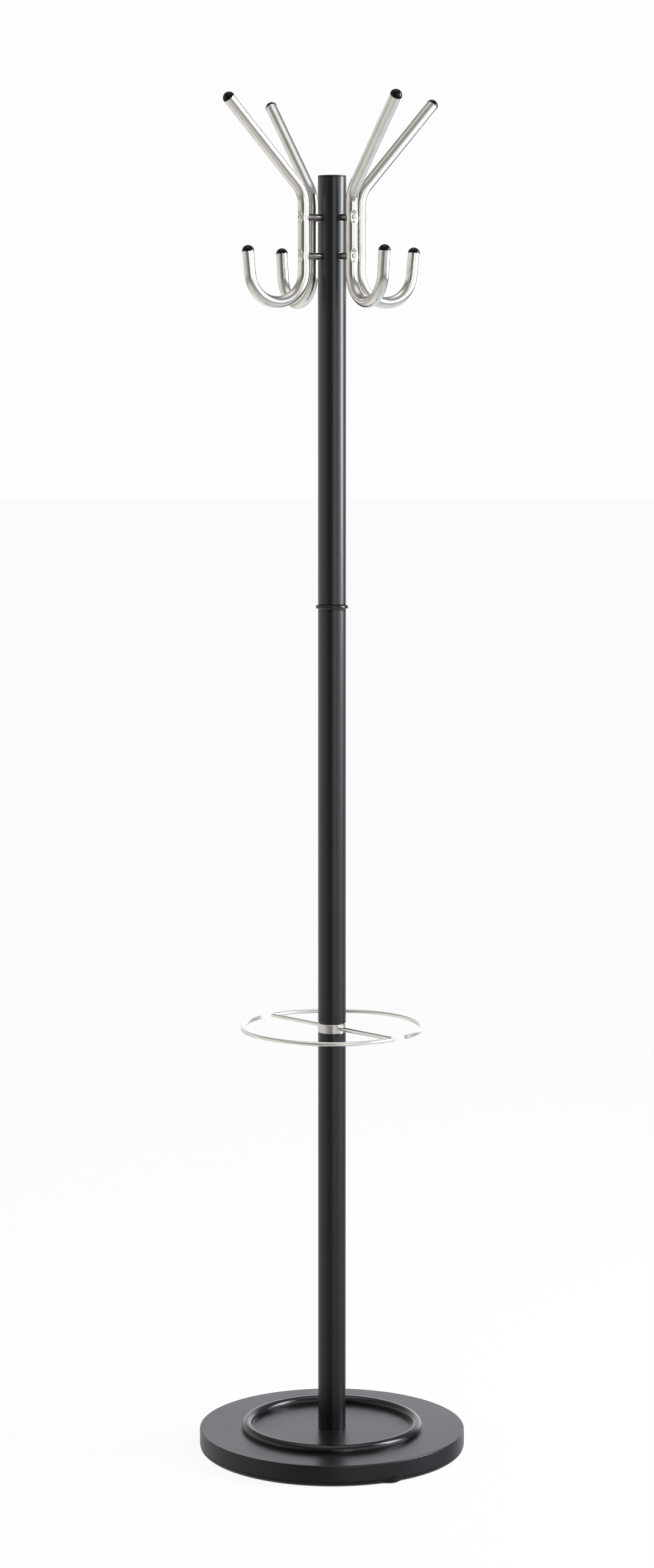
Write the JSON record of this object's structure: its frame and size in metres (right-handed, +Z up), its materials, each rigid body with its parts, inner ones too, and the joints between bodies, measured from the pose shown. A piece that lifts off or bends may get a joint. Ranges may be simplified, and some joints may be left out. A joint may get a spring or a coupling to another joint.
{
  "type": "coat rack",
  "caption": "Free-standing coat rack with a weighted round foot, a sectional pole, a turning umbrella ring and a turning head of double hooks.",
  "frame": {"origin": "on the pole's axis, on the floor", "axes": "+Z up along the pole; -Y is the front, +X the right seen from the front"},
  "size_m": [0.3649, 0.365, 1.8418],
  "materials": {
    "black_powder_coat": "matte black powder coat over steel",
    "black_rubber": "matte black rubber",
    "satin_black_plastic": "satin black moulded plastic",
    "gloss_black_plastic": "glossy black moulded plastic",
    "brushed_stainless": "brushed stainless steel",
    "dark_turned_steel": "turned steel, dark nickel",
    "plated_steel": "zinc-plated steel",
    "cast_iron": "rough casting",
    "bearing_plastic": "natural acetal"
  },
  "bodies": {
    "root": {"base_cover": "black_powder_coat", "edge_trim": "black_rubber", "base_plate": "plated_steel", "base_weight": "cast_iron", "drip_ring": "satin_black_plastic", "base_washer": "plated_steel", "base_bolt": "plated_steel", "lower_tube": "black_powder_coat", "lower_tube_foot_plug": "plated_steel", "lower_tube_top_plug": "plated_steel", "umbrella_spindle": "plated_steel", "middle_tube": "black_powder_coat", "middle_tube_foot_plug": "plated_steel", "middle_tube_top_plug": "plated_steel", "joint_ring": "gloss_black_plastic", "head_spindle": "plated_steel", "retaining_clip": "plated_steel"},
    "umbrella_holder": {"umbrella_collar": "brushed_stainless", "umbrella_rod_front": "brushed_stainless", "umbrella_rod_back": "brushed_stainless"},
    "hook_head": {"upper_tube": "black_powder_coat", "head_bush": "bearing_plastic", "top_cap": "satin_black_plastic", "hook_back_right": "brushed_stainless", "upper_cap_back_right": "gloss_black_plastic", "lower_cap_back_right": "gloss_black_plastic", "spacers_back_right": "dark_turned_steel", "hook_screws_back_right": "brushed_stainless", "rivet_nuts_back_right": "dark_turned_steel", "hook_back_left": "brushed_stainless", "upper_cap_back_left": "gloss_black_plastic", "lower_cap_back_left": "gloss_black_plastic", "spacers_back_left": "dark_turned_steel", "hook_screws_back_left": "brushed_stainless", "rivet_nuts_back_left": "dark_turned_steel", "hook_front_left": "brushed_stainless", "upper_cap_front_left": "gloss_black_plastic", "lower_cap_front_left": "gloss_black_plastic", "spacers_front_left": "dark_turned_steel", "hook_screws_front_left": "brushed_stainless", "rivet_nuts_front_left": "dark_turned_steel", "hook_front_right": "brushed_stainless", "upper_cap_front_right": "gloss_black_plastic", "lower_cap_front_right": "gloss_black_plastic", "spacers_front_right": "dark_turned_steel", "hook_screws_front_right": "brushed_stainless", "rivet_nuts_front_right": "dark_turned_steel"}
  },
  "joints": [
    {"name": "umbrella_holder_swivel", "type": "hinge", "parent": "root", "child": "umbrella_holder", "pos_m": [0, 0, 0.59], "axis": [0, 0, 1], "continuous": true},
    {"name": "hook_head_swivel", "type": "hinge", "parent": "root", "child": "hook_head", "pos_m": [0, 0, 1.1681], "axis": [0, 0, 1], "continuous": true}
  ]
}
